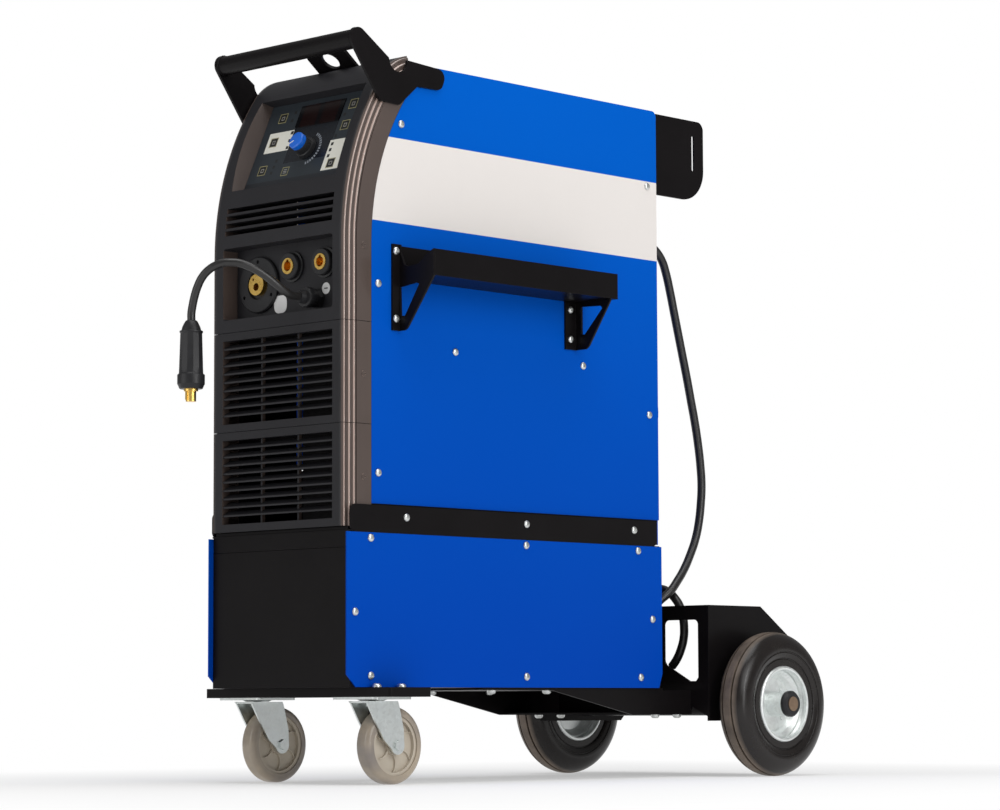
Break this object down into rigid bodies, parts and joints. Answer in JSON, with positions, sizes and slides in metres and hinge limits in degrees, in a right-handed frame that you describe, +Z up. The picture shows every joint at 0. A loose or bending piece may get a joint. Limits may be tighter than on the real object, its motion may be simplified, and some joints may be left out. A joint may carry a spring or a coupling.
{
  "type": "mig welder on cart",
  "caption": "Tall wire-feed welding machine on a cart: curved louvred front, side shelf, bottle carrier with large rear wheels and small swivel casters in front.",
  "frame": {"origin": "on the ground under the middle of the box round the cart without its leads", "axes": "+Z up, the louvred front faces -Y, +X is the side with the shelf"},
  "size_m": [0.4646, 0.9944, 0.958],
  "materials": {
    "black_paint": "semi-gloss black powder coat",
    "blue_paint": "glossy blue powder coat with a white painted band",
    "front_plastic": "moulded charcoal plastic, fine satin",
    "panel_film": "printed control film with plain keys",
    "display": "smoked display window",
    "knob_blue": "blue cap over a black skirt",
    "black_plastic": "moulded black plastic",
    "brass": "turned brass",
    "zinc": "bright zinc plate",
    "rear_tyre": "black tyre with polished shoulders",
    "caster_core": "beige-grey moulded core",
    "caster_tyre": "grey elastic tread",
    "cable": "black cable jacket",
    "cores": "insulated cores in blue, brown and green-yellow",
    "alloy": "milled and extruded aluminium"
  },
  "bodies": {
    "cart": {"lower_frame": "black_paint", "lower_panels": "blue_paint", "tray_rim": "black_paint", "cross_channel": "black_paint", "rear_carrier": "black_paint", "rear_axle": "zinc", "hub_caps": "black_plastic", "caster_plate_right": "zinc", "caster_plate_left": "zinc", "chassis": "black_paint", "side_panel_right": "blue_paint", "side_panel_left": "blue_paint", "top_cover": "blue_paint", "rear_panel": "blue_paint", "handle": "black_paint", "lifting_plate": "black_paint", "strap_plates": "black_paint", "shelf_brackets": "black_paint", "shelf_tray": "black_paint", "control_module": "front_plastic", "grille_module_mid": "front_plastic", "grille_module_low": "front_plastic", "control_panel": "panel_film", "display_window": "display", "connector_plate": "front_plastic", "socket_bodies": "black_plastic", "socket_contacts": "brass", "polarity_gland": "black_plastic", "polarity_lead": "cable", "polarity_plug": "black_plastic", "plug_pin": "brass", "mains_gland": "black_plastic", "mains_lead": "cable", "mains_coil": "cable", "mains_tail": "cable", "mains_cores": "cores", "screws": "zinc", "gas_inlet": "brass", "power_block": "alloy", "wire_feeder": "alloy"},
    "wheel_right": {"tyre_right": "rear_tyre", "rim_right": "zinc"},
    "wheel_left": {"tyre_left": "rear_tyre", "rim_left": "zinc"},
    "caster_right": {"caster_fork_right": "zinc", "caster_bolt_right": "zinc"},
    "caster_wheel_right": {"caster_core_right": "caster_core", "caster_tyre_right": "caster_tyre"},
    "caster_left": {"caster_fork_left": "zinc", "caster_bolt_left": "zinc"},
    "caster_wheel_left": {"caster_core_left": "caster_core", "caster_tyre_left": "caster_tyre"},
    "setting_knob": {"knob": "knob_blue"},
    "door": {"spool_door": "blue_paint"},
    "latch": {"door_latch": "black_plastic"},
    "fan": {"fan_rotor": "black_plastic"},
    "switch": {"power_switch": "black_plastic"},
    "spool": {"wire_spool": "black_plastic"},
    "drive_roll": {"feed_roll": "zinc"},
    "arm": {"pressure_arm": "black_plastic"}
  },
  "joints": [
    {"name": "rear_wheel_right_spin", "type": "hinge", "parent": "cart", "child": "wheel_right", "pos_m": [0.194, 0.333, 0.1], "axis": [1, 0, 0], "continuous": true},
    {"name": "caster_right_swivel", "type": "hinge", "parent": "cart", "child": "caster_right", "pos_m": [0.108, -0.3585, 0.105], "axis": [0, 0, 1], "continuous": true},
    {"name": "caster_right_spin", "type": "hinge", "parent": "caster_right", "child": "caster_wheel_right", "pos_m": [0.108, -0.3285, 0.049], "axis": [1, 0, 0], "continuous": true},
    {"name": "rear_wheel_left_spin", "type": "hinge", "parent": "cart", "child": "wheel_left", "pos_m": [-0.194, 0.333, 0.1], "axis": [1, 0, 0], "continuous": true},
    {"name": "caster_left_swivel", "type": "hinge", "parent": "cart", "child": "caster_left", "pos_m": [-0.108, -0.3585, 0.105], "axis": [0, 0, 1], "continuous": true},
    {"name": "caster_left_spin", "type": "hinge", "parent": "caster_left", "child": "caster_wheel_left", "pos_m": [-0.108, -0.3285, 0.049], "axis": [1, 0, 0], "continuous": true},
    {"name": "setting_knob_turn", "type": "hinge", "parent": "cart", "child": "setting_knob", "pos_m": [0.009, -0.37785, 0.81825], "axis": [0, -0.9135, 0.4067], "continuous": true},
    {"name": "door_hinge", "type": "hinge", "parent": "cart", "child": "door", "pos_m": [-0.131, 0.137, 0.649], "axis": [0, 0, -1], "range_deg": [0, 110]},
    {"name": "latch_turn", "type": "hinge", "parent": "door", "child": "latch", "pos_m": [-0.127, -0.252, 0.649], "axis": [-1, 0, 0], "range_deg": [0, 90]},
    {"name": "fan_spin", "type": "hinge", "parent": "cart", "child": "fan", "pos_m": [0.058, 0.15, 0.503], "axis": [0, 1, 0], "continuous": true},
    {"name": "switch_turn", "type": "hinge", "parent": "cart", "child": "switch", "pos_m": [-0.06, 0.176, 0.837], "axis": [0, 1, 0], "range_deg": [0, 90]},
    {"name": "spool_spin", "type": "hinge", "parent": "cart", "child": "spool", "pos_m": [-0.072, 0.016, 0.683], "axis": [1, 0, 0], "continuous": true},
    {"name": "drive_roll_spin", "type": "hinge", "parent": "cart", "child": "drive_roll", "pos_m": [-0.061, -0.184, 0.63], "axis": [1, 0, 0], "continuous": true},
    {"name": "arm_lift", "type": "hinge", "parent": "cart", "child": "arm", "pos_m": [-0.061, -0.22, 0.677], "axis": [1, 0, 0], "range_deg": [0, 55]}
  ]
}
